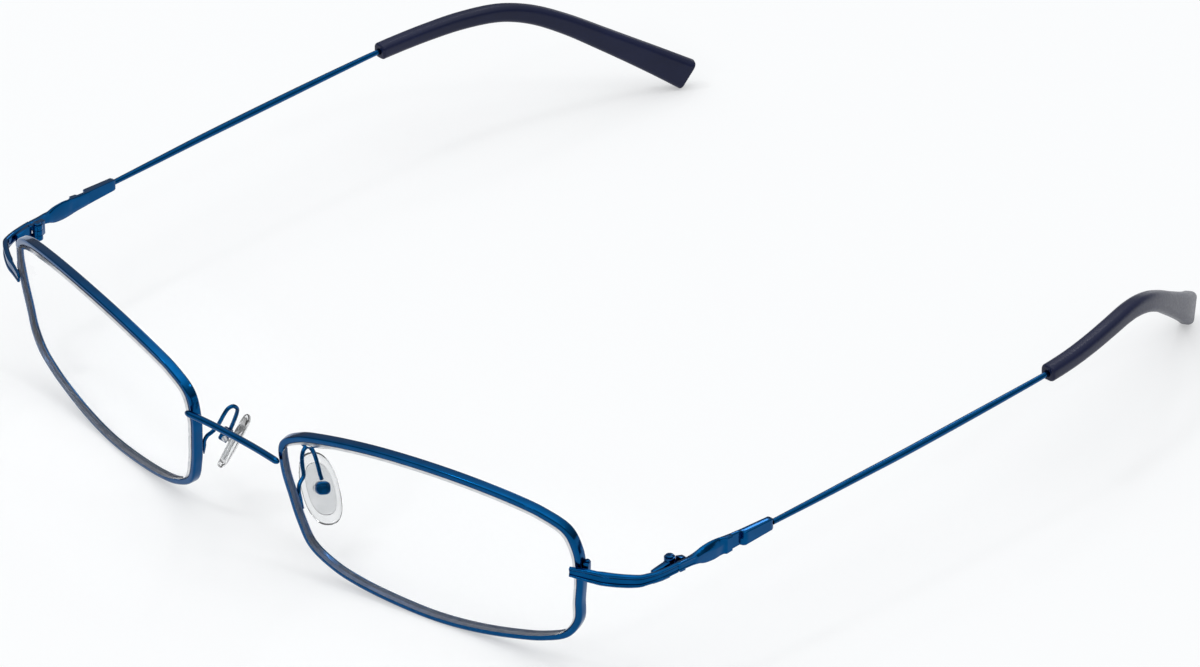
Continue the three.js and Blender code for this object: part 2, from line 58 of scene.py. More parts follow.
RIM_WIDTH = 1.06
RIM_DEPTH = 1.49
RIM_EDGE = 0.3
GROOVE_DEPTH = 0.4
GROOVE_HALF = 0.38
RIM_SLIT = 0.12

LENS_PROUD = 0.45  # the lens stands this far in front of the rim
LENS_BACK = 1.1
LENS_FIT = 0.07
LENS_CHAMFER = 0.2
OUTLINE_STEPS = 320  # sections round the rim and the lens

STRIP = 0.8  # sheet thickness of the endpiece
STRIP_ON_RIM = 0.42  # where the endpiece lies over the rim
STRIP_FULLNESS = 0.1  # how far the beads stand past the strip's upper and lower edge
STRIP_EASE = 0.12  # its rear edges

BRIDGE_RADIUS = 0.51
PAD_WIRE_RADIUS = 0.3

HINGE_AXIS = (65.7, 16.0)
HINGE_BOTTOM = 16.1
HINGE_TOP = 18.6
BARREL_RADIUS = 0.8
HINGE_PIN_RADIUS = 0.35
GAP = 0.05

HINGE_HEAD = {"radius": 0.62, "height": 0.25}
HEAD_LIFT = 0.01  # between a screw's head and its seat
SLOT_HALF = 0.09  # half the width of a screw's driving slot
SLOT_DEPTH = 0.45  # of the head's height
SLOT_TURN = 0.6
KNUCKLE_WEB = {"inner": 0.15, "reach": 1.2}

WIRE_RADIUS = 0.42
WIRE_SWELL = 0.14  # added to the wire's radius half way to the tip
TIP_START = 55.6  # distances along the temple from the back of its plate
WIRE_END = 74.0
SOCKET_END = 75.0
TIP_THICKNESS = 2.5
TIP_EDGE = 0.9
TIP_EASE = 0.35  # rounding at both ends of the tip
TIP_GROWTH = (0.35, 2.2)  # added to the tip's height towards its end: evenly, and mostly near the end

# The lens shape seen from the front, u towards the temple and v up, round from the rim's slit.
LENS_OUTLINE = [
    (24.8, 2.6),
    (24.7, 5.3),
    (23.5, 8.6),
    (20.0, 10.6),
    (16.1, 11.7),
    (8.5, 12.85),
    (0, 13.25),
    (-8.5, 12.8),
    (-16.9, 11.4),
    (-20.9, 10.2),
    (-24.2, 7.9),
    (-24.7, 3.5),
    (-24.0, -0.8),
    (-23.1, -4.9),
    (-21.5, -8.7),
    (-17.7, -11.05),
    (-13.5, -12.2),
    (-6.5, -13.1),
    (0, -13.5),
    (6.5, -13.2),
    (13.5, -12.2),
    (17.9, -11.2),
    (21.6, -9.6),
    (23.6, -6.8),
    (24.1, -3.3),
    (24.7, 0.4),
]

# The endpiece's outer face: x, y and the heights of its lower and upper edge.
ENDPIECE_ROUTE = [
    (57.4, 4.82, 16.55, 17.9),
    (59.9, 5.97, 16.2, 18.05),
    (61.75, 6.7, 16.15, 18.1),
    (63.65, 7.75, 16.25, 18.15),
    (65.3, 8.9, 16.4, 18.2),
    (66.3, 9.85, 16.55, 18.2),
    (66.8, 10.9, 16.7, 18.2),
    (67.2, 12.1, 16.8, 18.2),
    (67.52, 13.75, 16.9, 18.25),
    (67.72, 15.75, 17.0, 18.34),
]

# The temple plate from front to back: y, inner and outer face, lower and upper edge.
TEMPLE_PLATE = [
    (15.85, 66.9, 67.72, 17.0, 18.34),
    (18.4, 67.05, 67.9, 17.0, 18.36),
    (19.6, 67.12, 67.98, 16.75, 18.6),
    (20.7, 67.2, 68.02, 16.35, 18.95),
    (22.6, 67.33, 68.08, 16.15, 19.15),
    (24.4, 67.42, 68.12, 16.3, 18.98),
    (24.6, 67.43, 68.42, 16.34, 18.95),
    (25.6, 67.48, 68.42, 16.42, 18.87),
    (25.8, 67.49, 68.12, 16.44, 18.85),
    (27.4, 67.56, 68.15, 16.52, 18.78),
    (27.6, 67.57, 68.72, 16.55, 18.76),
    (27.8, 67.58, 68.87, 16.56, 18.75),
    (33.0, 67.8, 68.87, 16.78, 18.62),
    (33.4, 67.9, 68.7, 16.9, 18.5),
]

TEMPLE_ROUTE = [
    (68.45, 33.45, 17.77),
    (68.75, 42.4, 17.95),
    (69.0, 50.7, 18.15),
    (69.2, 59.0, 18.3),
    (69.35, 72.0, 18.6),
    (69.4, 80.7, 18.8),
    (69.35, 89.0, 18.98),
    (69.0, 94.3, 19.1),
    (68.35, 99.2, 19.27),
    (67.4, 104.2, 19.4),
    (66.0, 109.7, 19.2),
    (65.05, 113.0, 18.6),
    (63.7, 117.1, 17.15),
    (61.75, 122.0, 14.5),
    (59.0, 128.0, 10.55),
    (55.5, 135.0, 5.8),
    (52.4, 140.0, 2.3),
]

PAD_ARM_ROUTE = [
    (10.5, -1.1, 9.8),
    (10.2, -1.28, 11.0),
    (9.95, -1.4, 12.3),
    (9.65, -1.1, 13.1),
    (9.38, -0.57, 13.5),
    (9.2, 0.2, 14.0),
    (8.66, 0.55, 15.2),
    (8.2, 0.9, 16.4),
    (7.95, 1.5, 17.2),
    (7.83, 2.3, 17.3),
    (7.83, 3.0, 16.7),
    (8.1, 3.3, 15.9),
    (8.75, 3.35, 14.3),
    (9.3, 3.28, 13.0),
    (9.62, 3.27, 12.3),
]

LOCK = {"inner": 0.7, "outer": 1.5, "front": 0.1, "back": 1.35, "bottom": 16.3, "split": 17.35, "top": 18.7}
LOCK_CHAMFER = 0.3
LOCK_SCREW = {"shank": 0.18, "head": 0.34, "height": 0.3}

# The hinge leaves' plates: x and y from the hinge axis and the height of the top.
FRONT_LEAF = [
    (0.1, -3.8, 18.05),
    (0.63, -3.8, 18.05),
    (0.96, -2.4, 18.25),
    (1.06, -0.98, 18.5),
    (0.15, -0.98, 18.5),
]
TEMPLE_LEAF = [
    (0.15, 0.98, 18.4),
    (1.14, 0.98, 18.4),
    (1.24, 1.9, 18.3),
    (0.5, 1.9, 18.3),
]

# Half of the bridge's route, as x and y, at one height.
BRIDGE_HALF = [
    (9.75, -5.06),
    (5, -4.75),
    (0, -4.65),
]
BRIDGE_HEIGHT = 18.6

PAD_PIVOT = np.array([10.04, 2.97, 11.28])
PAD_WIDTH_AXIS = (-0.513, -0.854, 0.075)
PAD_NOSE_AXIS = (-0.789, 0.436, -0.432)
PAD_BACK = 0.75
PAD_HALF_WIDTH = 2.75
PAD_HALF_LENGTH = 5.25
PAD_SLANT = 0.2
PAD_DROP = 0.25
PAD_THICKNESS = 1.4
PAD_POCKET = 0.7
PAD_SHOULDER = 0.55  # where the pad's outline is widest
CORE_SCALE = 0.72
TONGUE_RADIUS = 0.5
BOX = {"half_width": 1.05, "half_length": 0.95, "back": -0.95, "front": 0.45, "corner": 0.75, "ease": 0.3}
BOX_RECESS = {"radius": 0.34, "depth": 0.25, "mouth": 0.4}
CAVITY = {"half_width": 0.6, "half_length": 0.62, "floor": -0.62, "corner": 0.3}
PAD_SCREW = {"shank": 0.25, "head": 0.45, "height": 0.25, "proud": 0.1}

# ---- Curves -------------------------------------------------------------------------------------


def unit(vector):
    vector = np.asarray(vector, float)
    return vector / np.linalg.norm(vector)


def smoothstep(value):
    value = np.clip(value, 0.0, 1.0)
    return value * value * (3 - 2 * value)


def smooth_route(points, per_span=12, closed=False):
    """Points along a centripetal Catmull-Rom curve through the given points."""
    given = np.asarray(points, float)
    before, after = 2 * given[0] - given[1], 2 * given[-1] - given[-2]
    knots = np.vstack([given[-1:], given, given[:2]] if closed else [before, given, after])
    found = []
    for p0, p1, p2, p3 in zip(knots, knots[1:], knots[2:], knots[3:]):
        d0, d1, d2 = (math.sqrt(np.linalg.norm(b - a)) for a, b in ((p0, p1), (p1, p2), (p2, p3)))
        leave = ((p1 - p0) / d0 - (p2 - p0) / (d0 + d1) + (p2 - p1) / d1) * d1
        arrive = ((p2 - p1) / d1 - (p3 - p1) / (d1 + d2) + (p3 - p2) / d2) * d1
        for t in np.arange(per_span) / per_span:
            curve = (2 * t**3 - 3 * t**2 + 1) * p1 + (3 * t**2 - 2 * t**3) * p2
            found.append(curve + (t**3 - 2 * t**2 + t) * leave + (t**3 - t**2) * arrive)
    return np.array(found + [given[0] if closed else given[-1]])


def lengths(points):
    steps = np.linalg.norm(np.diff(points, axis=0), axis=1)
    return np.concatenate([[0.0], np.cumsum(steps)])


def along_route(points, distances):
    """Points and unit tangents at distances along a route."""
    run = lengths(points)
    tangents = np.gradient(points, run, axis=0)
    place = np.column_stack([np.interp(distances, run, column) for column in points.T])
    slope = np.column_stack([np.interp(distances, run, column) for column in tangents.T])
    return place, slope / np.linalg.norm(slope, axis=1)[:, None]


def transported(tangents, first_normal):
    """Normals carried along the tangents without twist."""
    normals = []
    normal = np.asarray(first_normal, float)
    for tangent in tangents:
        normal = unit(normal - tangent * normal.dot(tangent))
        normals.append(normal)
    return np.array(normals)


def circle(radius, sides):
    angles = 2 * np.pi * np.arange(sides) / sides
    return np.column_stack([radius * np.cos(angles), radius * np.sin(angles)])


def rounded_box(width, height, radius, per_corner=5):
    """Points round a rectangle with rounded corners, centred on the origin."""
    inset = np.array([width / 2 - radius, height / 2 - radius])
    points = []
    for quarter, (sx, sy) in enumerate(((1, 1), (-1, 1), (-1, -1), (1, -1))):
        for step in np.linspace(0, 1, per_corner):
            angle = (quarter + step) * math.pi / 2
            turn = np.array([math.cos(angle), math.sin(angle)])
            points.append(inset * (sx, sy) + radius * turn)
    return np.array(points)


# ---- Meshes -------------------------------------------------------------------------------------


class Body:
    """Vertices, faces, texture coordinates and face materials of one closed body, in millimetres."""

    def __init__(self):
        self.points = []
        self.faces = []
        self.uvs = []
        self.looks = []

    def add_face(self, corners, uvs, look=0):
        self.faces.append(corners)
        self.uvs.append(uvs)
        self.looks.append(look)

    def add_skin(self, rings, look_of_ring=None):
        """A skin over rings of equally many points, capped at both ends."""
        rings = [np.asarray(ring, float) for ring in rings]
        base = len(self.points)
        count = len(rings[0])
        run = lengths(np.array([ring[0] for ring in rings])) / UV_LENGTH
        for ring in rings:
            self.points.extend(ring)
        for k in range(len(rings) - 1):
            look = look_of_ring[k] if look_of_ring else 0
            for i in range(count):
                j = (i + 1) % count
                first, second = base + k * count, base + (k + 1) * count
                left, right = i / count, (i + 1) / count
                uvs = [(left, run[k]), (right, run[k]), (right, run[k + 1]), (left, run[k + 1])]
                self.add_face([first + i, first + j, second + j, second + i], uvs, look)
        first_look, last_look = (look_of_ring[0], look_of_ring[-1]) if look_of_ring else (0, 0)
        self.add_cap(rings[0], base, True, first_look)
        self.add_cap(rings[-1], base + (len(rings) - 1) * count, False, last_look)
        return self

    def add_cap(self, ring, start, turned, look):
        """Closes a ring with a fan from its middle."""
        count = len(ring)
        middle = len(self.points)
        self.points.append(ring.mean(axis=0))
        for i in range(count):
            j = (i + 1) % count
            pair = [start + j, start + i] if turned else [start + i, start + j]
            self.add_face([middle] + pair, [(0.5, 0.0), (i / count, 0.1), ((i + 1) / count, 0.1)], look)


def volume_of(points, faces):
    """Six times the volume, negative where the faces look inwards."""
    total = 0.0
    for face in faces:
        for a, b in zip(face[1:], face[2:]):
            total += points[face[0]].dot(np.cross(points[a], points[b]))
    return total


def place(points, side):
    """The drawing moved to the row frame's origin and mirrored for side -1, still in millimetres."""
    placed = np.asarray(points, float) - DRAWING_ORIGIN
    placed[:, 0] *= side
    return placed


def make_object(name, body, side, looks):
    points = place(body.points, side)
    faces, uvs = body.faces, body.uvs
    if volume_of(points, faces) < 0:
        faces = [face[::-1] for face in faces]
        uvs = [corner[::-1] for corner in uvs]
    mesh = bpy.data.meshes.new(name)
    mesh.from_pydata([tuple(point) for point in points], [], faces)
    layer = mesh.uv_layers.new(name="along")
    layer.data.foreach_set("uv", [value for face in uvs for uv in face for value in uv])
    mesh.polygons.foreach_set("material_index", body.looks)
    for look in looks:
        mesh.materials.append(look)
    made = bpy.data.objects.new(name, mesh)
    bpy.context.scene.collection.objects.link(made)
    return made


def apply_modifiers(made):
    """Bakes an object's modifiers into its mesh."""
    bpy.context.view_layer.update()
    evaluated = made.evaluated_get(bpy.context.evaluated_depsgraph_get())
    mesh = bpy.data.meshes.new_from_object(evaluated)
    made.modifiers.clear()
    made.data = mesh


def ease_edges(made, width, angle=35, segments=3):
    bevel = made.modifiers.new("ease", "BEVEL")
    bevel.width = width
    bevel.segments = segments
    bevel.limit_method = "ANGLE"
    bevel.angle_limit = math.radians(angle)
    bevel.harden_normals = False
    apply_modifiers(made)


def boolean(made, other, operation):
    step = made.modifiers.new("step", "BOOLEAN")
    step.operation = operation
    step.object = other
    step.solver = "EXACT"
    apply_modifiers(made)
    bpy.data.objects.remove(other)


def finish_piece(made, body, nodes, sharp=40):
    made.data.transform(Matrix.Scale(MILLIMETRE, 4))
    made.data.polygons.foreach_set("use_smooth", [True] * len(made.data.polygons))
    made.data.set_sharp_from_angle(angle=math.radians(sharp))
    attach(made, body)
    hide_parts(*nodes)
    return made


def piece(name, shape, side, looks, body, nodes, sharp=40):
    return finish_piece(make_object(name, shape, side, looks), body, nodes, sharp)


# ---- Materials ----------------------------------------------------------------------------------

NOISE_SPAN = (0.3, 0.7)


class Nodes:
    """A short way to write a material's node tree."""

    def __init__(self, name):
        self.material = bpy.data.materials.new(name)
        self.material.use_nodes = True
        self.tree = self.material.node_tree
        self.tree.nodes.clear()
        self.output = self.tree.nodes.new("ShaderNodeOutputMaterial")
        self.coordinates = self.tree.nodes.new("ShaderNodeTexCoord")

    def add(self, kind, **values):
        node = self.tree.nodes.new("ShaderNode" + kind)
        for key, value in values.items():
            setattr(node, key, value)
        return node

    def link(self, source, target):
        self.tree.links.new(source, target)

    def mapping(self, source, scale):
        node = self.add("Mapping")
        node.inputs["Scale"].default_value = scale
        self.link(self.coordinates.outputs[source], node.inputs["Vector"])
        return node.outputs["Vector"]

    def noise(self, vector, scale, detail=3.0, roughness=0.5):
        node = self.add("TexNoise")
        node.inputs["Scale"].default_value = scale
        node.inputs["Detail"].default_value = detail
        node.inputs["Roughness"].default_value = roughness
        self.link(vector, node.inputs["Vector"])
        return node.outputs["Fac"]

    def spread(self, value, low, high):
        """A noise's usual span, mapped to low..high."""
        node = self.add("MapRange")
        limits = {"From Min": NOISE_SPAN[0], "From Max": NOISE_SPAN[1], "To Min": low, "To Max": high}
        for key, number in limits.items():
            node.inputs[key].default_value = number
        self.link(value, node.inputs["Value"])
        return node.outputs["Result"]

    def colour(self, shader, noise, first, second):
        """The shader's base colour, blended from first to second by a noise."""
        self.link(self.blend(self.spread(noise, 0, 1), first, second), shader.inputs["Base Color"])

    def blend(self, value, first, second):
        node = self.add("Mix", data_type="RGBA")
        node.inputs[6].default_value = (*first, 1.0)
        node.inputs[7].default_value = (*second, 1.0)
        self.link(value, node.inputs[0])
        return node.outputs[2]

    def bump(self, height, strength, distance, normal=None):
        node = self.add("Bump")
        node.inputs["Strength"].default_value = strength
        node.inputs["Distance"].default_value = distance * MILLIMETRE
        self.link(height, node.inputs["Height"])
        if normal is not None:
            self.link(normal, node.inputs["Normal"])
        return node.outputs["Normal"]

    def principled(self, **constants):
        node = self.add("BsdfPrincipled")
        for key, value in constants.items():
            node.inputs[key.replace("_", " ")].default_value = value
        return node

    def done(self, shader):
        self.link(shader, self.output.inputs["Surface"])
        return self.material


def blue_metal():
    """Blue-plated metal, with fine brushing along the part and faint tone changes."""
    n = Nodes("blue_metal")
    cloud = n.noise(n.mapping("Object", (1, 1, 1)), 420.0, 4.0)
    brushed = n.noise(n.mapping("UV", (26, 3, 1)), 9.0, 5.0, 0.6)
    grain = n.noise(n.mapping("Object", (1, 1, 1)), 5200.0, 2.0)
    shader = n.principled(Metallic=1.0)
    n.colour(shader, cloud, (0.0012, 0.056, 0.170), (0.0026, 0.070, 0.210))
    n.link(n.spread(brushed, 0.10, 0.17), shader.inputs["Roughness"])
    fine = n.bump(grain, 0.12, 0.004)
    n.link(n.bump(brushed, 0.10, 0.01, fine), shader.inputs["Normal"])
    return n.done(shader.outputs["BSDF"])


def screw_steel():
    """Bright steel with turning marks."""
    n = Nodes("screw_steel")
    marks = n.noise(n.mapping("UV", (3, 60, 1)), 8.0, 4.0)
    cloud = n.noise(n.mapping("Object", (1, 1, 1)), 900.0, 2.0)
    shader = n.principled(Metallic=1.0)
    n.colour(shader, cloud, (0.55, 0.57, 0.60), (0.68, 0.69, 0.71))
    n.link(n.spread(marks, 0.18, 0.32), shader.inputs["Roughness"])
    n.link(n.bump(marks, 0.15, 0.01), shader.inputs["Normal"])
    return n.done(shader.outputs["BSDF"])


def lens_clear():
    """Clear lens plastic, with the faintest waviness of a hard coat."""
    n = Nodes("lens_clear")
    wave = n.noise(n.mapping("Object", (1, 1, 1)), 60.0, 1.0)
    tint = n.noise(n.mapping("Object", (1, 1, 1)), 25.0, 1.0)
    shader = n.principled(Roughness=0.0, IOR=1.04, Transmission_Weight=1.0)
    shader.inputs["Specular Tint"].default_value = (0.08, 0.10, 0.14, 1.0)
    n.colour(shader, tint, (0.994, 0.997, 0.999), (0.999, 1.0, 1.0))
    n.link(n.bump(wave, 0.02, 0.01), shader.inputs["Normal"])
    return n.done(shader.outputs["BSDF"])


def lens_ground_edge():
    """The lens's ground edge: frosted grey with fine grinding streaks along it, letting some light by."""
    n = Nodes("lens_ground_edge")
    streaks = n.noise(n.mapping("UV", (14, 1.2, 1)), 6.0, 5.0, 0.65)
    frost = n.noise(n.mapping("Object", (1, 1, 1)), 3500.0, 3.0)
    shader = n.principled(IOR=1.04, Transmission_Weight=0.86)
    n.colour(shader, streaks, (0.34, 0.355, 0.39), (0.60, 0.61, 0.63))
    n.link(n.spread(frost, 0.4, 0.6), shader.inputs["Roughness"])
    n.link(n.bump(streaks, 0.35, 0.02), shader.inputs["Normal"])
    return n.done(shader.outputs["BSDF"])


def silicone_clear():
    """Clear moulded silicone."""
    n = Nodes("silicone_clear")
    haze = n.noise(n.mapping("Object", (1, 1, 1)), 500.0, 3.0)
    skin = n.noise(n.mapping("Object", (1, 1, 1)), 1800.0, 2.0)
    shader = n.principled(IOR=1.45, Transmission_Weight=1.0)
    n.colour(shader, haze, (0.84, 0.85, 0.855), (0.91, 0.915, 0.92))
    n.link(n.spread(skin, 0.02, 0.06), shader.inputs["Roughness"])
    n.link(n.bump(skin, 0.08, 0.01), shader.inputs["Normal"])
    return n.done(shader.outputs["BSDF"])


def pad_insert():
    """The stiff insert in the pad: milky translucent plastic."""
    n = Nodes("pad_insert")
    cloud = n.noise(n.mapping("Object", (1, 1, 1)), 700.0, 3.0)
    skin = n.noise(n.mapping("Object", (1, 1, 1)), 2600.0, 2.0)
    shader = n.principled(IOR=1.45, Transmission_Weight=0.95)
    n.colour(shader, cloud, (0.80, 0.81, 0.82), (0.88, 0.885, 0.89))
    n.link(n.spread(skin, 0.06, 0.12), shader.inputs["Roughness"])
    n.link(n.bump(skin, 0.1, 0.01), shader.inputs["Normal"])
    return n.done(shader.outputs["BSDF"])


def tip_navy():
    """Dark navy acetate, tumbled to a satin gloss, with a faint swirl in its colour."""
    n = Nodes("tip_navy")
    swirl = n.noise(n.mapping("Object", (1, 0.35, 1)), 160.0, 5.0, 0.6)
    tumbled = n.noise(n.mapping("Object", (1, 1, 1)), 2400.0, 3.0)
    shader = n.principled(IOR=1.5, Specular_IOR_Level=0.22)
    n.colour(shader, swirl, (0.0040, 0.0070, 0.030), (0.0075, 0.0115, 0.044))
    n.link(n.spread(tumbled, 0.28, 0.38), shader.inputs["Roughness"])
    n.link(n.bump(tumbled, 0.06, 0.01), shader.inputs["Normal"])
    return n.done(shader.outputs["BSDF"])


def floor_paper():
    """A pale light table: a white sheet glowing softly from below, so shadows on it stay faint."""
    n = Nodes("floor_paper")
    cloud = n.noise(n.mapping("Object", (1, 1, 1)), 3.0, 3.0)
    fibre = n.noise(n.mapping("Object", (1, 1, 1)), 1500.0, 3.0)
    shader = n.principled(Roughness=0.9, Specular_IOR_Level=0.1, Emission_Strength=0.42)
    shader.inputs["Emission Color"].default_value = (0.985, 0.990, 0.990, 1.0)
    n.colour(shader, cloud, (0.515, 0.520, 0.525), (0.520, 0.525, 0.530))
    n.link(n.bump(fibre, 0.02, 0.01), shader.inputs["Normal"])
    return n.done(shader.outputs["BSDF"])


BLUE = blue_metal()
STEEL = screw_steel()
CLEAR = lens_clear()
GROUND = lens_ground_edge()
SILICONE = silicone_clear()
INSERT = pad_insert()
NAVY = tip_navy()

# ---- Rim and lens -------------------------------------------------------------------------------


def on_lens_shape(u, v, depth):
    """A point of the lens shape, at a depth behind the rim's front face."""
    back = u * u / (2 * BASE_CURVE) - v * v / (2 * HEIGHT_CURVE) + depth
    x = u * math.cos(WRAP) - back * math.sin(WRAP)
    y = u * math.sin(WRAP) + back * math.cos(WRAP)
    return np.array(
        [
            LENS_CENTRE[0] + x,
            y * math.cos(TILT) - v * math.sin(TILT),
            LENS_CENTRE[1] + y * math.sin(TILT) + v * math.cos(TILT),
        ]
    )


def lens_stations(steps, gap=0.0):
    """(point, outward) round the lens shape, leaving a gap before the first one."""
    outline = smooth_route(LENS_OUTLINE, 24, closed=True)
    total = lengths(outline)[-1]
    points, tangents = along_route(outline, gap + (total - gap) * np.arange(steps + 1) / steps)
    outward = np.column_stack([tangents[:, 1], -tangents[:, 0]])
    return list(zip(points, outward))


def rim_section():
    """The rim's section as (outward, depth): eased outer corners and the lens groove inside."""
    half, middle = RIM_WIDTH / 2, RIM_DEPTH / 2
    outline = [p + (0, middle) for p in rounded_box(RIM_WIDTH, RIM_DEPTH, RIM_EDGE, 6)]
    inner = [(-half, middle + GROOVE_HALF), (GROOVE_DEPTH - half, middle), (-half, middle - GROOVE_HALF)]
    first, last = outline[:12], outline[12:]
    return np.array(first + [np.array(p) for p in inner] + last)


def rim(side, label):
    section = rim_section()
    rings = [
        [on_lens_shape(*(point + out * outward), depth) for out, depth in section]
        for point, outward in lens_stations(OUTLINE_STEPS, RIM_SLIT)
    ]
    name = "rim_" + label
    piece("metal_" + name, Body().add_skin(rings), side, [BLUE], "front", [name])


def lens(side, label):
    """The lens: clear faces, a rounded front edge proud of the rim, and a ground edge with a V."""
    stations = lens_stations(OUTLINE_STEPS)[:-1]
    edge = -RIM_WIDTH / 2 - LENS_FIT
    middle = RIM_DEPTH / 2
    face = (0.1, 0.4, 0.7, 0.9)

    def ring(scale, out, depth):
        return [on_lens_shape(*(scale * (point + out * outward)), depth) for point, outward in stations]

    rings = [ring(scale, edge, -LENS_PROUD) for scale in face]
    for step in np.linspace(0, 1, 6):
        angle = step * math.pi / 2
        inset = LENS_CHAMFER * (1 - math.sin(angle))
        rings.append(ring(1, edge - inset, -LENS_PROUD + LENS_CHAMFER * (1 - math.cos(angle))))
    clear_spans = len(rings) - 1
    ground = [
        (edge, middle - GROOVE_HALF + LENS_FIT),
        (edge + GROOVE_DEPTH - LENS_FIT, middle),
        (edge, LENS_BACK),
    ]
    rings += [ring(1, out, depth) for out, depth in ground]
    rings += [ring(scale, edge, LENS_BACK) for scale in face[::-1]]
    looks = [0] * clear_spans + [1] * len(ground) + [0] * len(face)
    name = "lens_" + label
    body = Body().add_skin(rings, look_of_ring=looks)
    made = piece("clear_" + name, body, side, [CLEAR, GROUND], "front", [name], 30)
    made.visible_shadow = False


def tube(points, radius_at, steps, sides, first_normal):
    """Rings of a round bar along a route; radius_at(share) is its radius."""
    run = lengths(points)[-1]
    places, tangents = along_route(points, run * np.arange(steps + 1) / steps)
    normals = transported(tangents, first_normal)
    rings = []
    for k, (centre, tangent, normal) in enumerate(zip(places, tangents, normals)):
        across = np.cross(tangent, normal)
        section = circle(radius_at(k / steps), sides)
        rings.append([centre + a * normal + b * across for a, b in section])
    return rings


def bridge():
    route = [(-x, y, BRIDGE_HEIGHT) for x, y in BRIDGE_HALF]
    route += [(x, y, BRIDGE_HEIGHT) for x, y in BRIDGE_HALF[-2::-1]]

    def radius(share):
        end = min(share, 1 - share) / 0.05
        return BRIDGE_RADIUS * (1 if end >= 1 else math.sqrt(max(0.02, 1 - (1 - end) ** 2)))

    rings = tube(smooth_route(route), radius, 120, 24, (0, 0, 1))
    piece("metal_bridge", Body().add_skin(rings), 1, [BLUE], "front", ["bridge"])


# ---- Endpiece and rim lock ----------------------------------------------------------------------


def endpiece_face(height, fade):
    """How deep the endpiece's outer face lies at a height share from -1 to 1: two beads and two grooves."""
    ridge = abs(height)
    bead = 0.16 * max(0.0, 1 - ((ridge - 0.7) / 0.24) ** 2) ** 0.5
    groove = 0.1 * math.exp(-(((ridge - 0.42) / 0.06) ** 2))
    corner = 0.24 * max(0.0, (ridge - 0.86) / 0.14) ** 1.5
    return corner + 0.13 + fade * (groove - bead)


def endpiece(side, label):
    stations = np.array(ENDPIECE_ROUTE)
    per_span = 12
    route = smooth_route(np.column_stack([stations[:, :2], np.zeros(len(stations))]), per_span)
    places = np.arange(len(route)) / per_span
    bottoms, tops = (np.interp(places, np.arange(len(stations)), stations[:, column]) for column in (2, 3))
    tangents = np.gradient(route, axis=0)
    rings = []
    for k, (centre, tangent) in enumerate(zip(route, tangents)):
        inward = unit((-tangent[1], tangent[0], 0))
        thickness = STRIP_ON_RIM + (STRIP - STRIP_ON_RIM) * min(1, max(0, places[k] - 1))
        fade = 1 - 0.35 * smoothstep((places[k] - 4) / 4)
        middle, half = (bottoms[k] + tops[k]) / 2, (tops[k] - bottoms[k]) / 2 + STRIP_FULLNESS
        heights = np.linspace(-1, 1, 61)
        outline = [(endpiece_face(h, fade), middle + half * h) for h in heights]
        eased = thickness - STRIP_EASE
        outline += [(eased, tops[k]), (thickness, tops[k] - STRIP_EASE), (thickness, middle)]
        outline += [(thickness, bottoms[k] + STRIP_EASE), (eased, bottoms[k])]
        rings.append([centre + deep * inward + (0, 0, z) for deep, z in outline])
    name = "endpiece_" + label
    made = make_object("metal_" + name, Body().add_skin(rings), side, [BLUE])
    finish_piece(made, "front", [name], 50)


def raised(outline, bottom, top):
    """Two rings: a flat outline at its bottom and at its top, one height or one for each point."""
    outline = np.asarray(outline, float)
    x, y = outline.T
    tops = np.ones(len(outline)) * top
    if np.dot(x, np.roll(y, -1)) - np.dot(y, np.roll(x, -1)) < 0:
        outline, tops = outline[::-1], tops[::-1]
    lower = np.column_stack([outline, np.full(len(outline), bottom)])
    return [lower, np.column_stack([outline, tops])]


def moved(body, turn, shift):
    """The body turned about Z and shifted in x and y."""
    c, s = math.cos(turn), math.sin(turn)
    matrix = np.array([[c, -s, 0], [s, c, 0], [0, 0, 1]])
    body.points = [matrix @ np.asarray(point) + np.asarray(shift) for point in body.points]
    return body


def at_lock(body):
    u, v = LENS_OUTLINE[0]
    rim_side = on_lens_shape(u, v, 0)
    return moved(body, WRAP + u / BASE_CURVE, (rim_side[0], rim_side[1], 0))


def screw_body(shank, head, bottom, head_bottom, top):
    """A cheese-head screw standing on z = bottom."""
    sides = 32
    ease = (top - head_bottom) * 0.3
    edge = 0.03
    profile = [
        (shank * 0.75, bottom),
        (shank, bottom + 0.1),
        (shank, head_bottom),
        (head - edge, head_bottom),
        (head, head_bottom + edge),
        (head, top - ease),
        (head - ease * 0.4, top - ease * 0.3),
        (head - ease, top),
    ]
    rings = [np.column_stack([circle(radius, sides), np.full(sides, z)]) for radius, z in profile]
    return Body().add_skin(rings)


def screw_at(name, place_body, sizes, side, carrier, node, look):
    """A screw with a driving slot across its head."""
    _, head, _, head_bottom, top = sizes
    made = make_object(name, place_body(screw_body(*sizes)), side, [look])
    bar = [(-2 * head, -SLOT_HALF), (2 * head, -SLOT_HALF), (2 * head, SLOT_HALF), (-2 * head, SLOT_HALF)]
    slot = Body().add_skin(raised(bar, top - SLOT_DEPTH * (top - head_bottom), top + 1))
    slot = place_body(moved(slot, SLOT_TURN, (0, 0, 0)))
    boolean(made, make_object(name + "_cut", slot, side, [look]), "DIFFERENCE")
    ease_edges(made, 0.02, 50, 2)
    finish_piece(made, carrier, [node], 45)


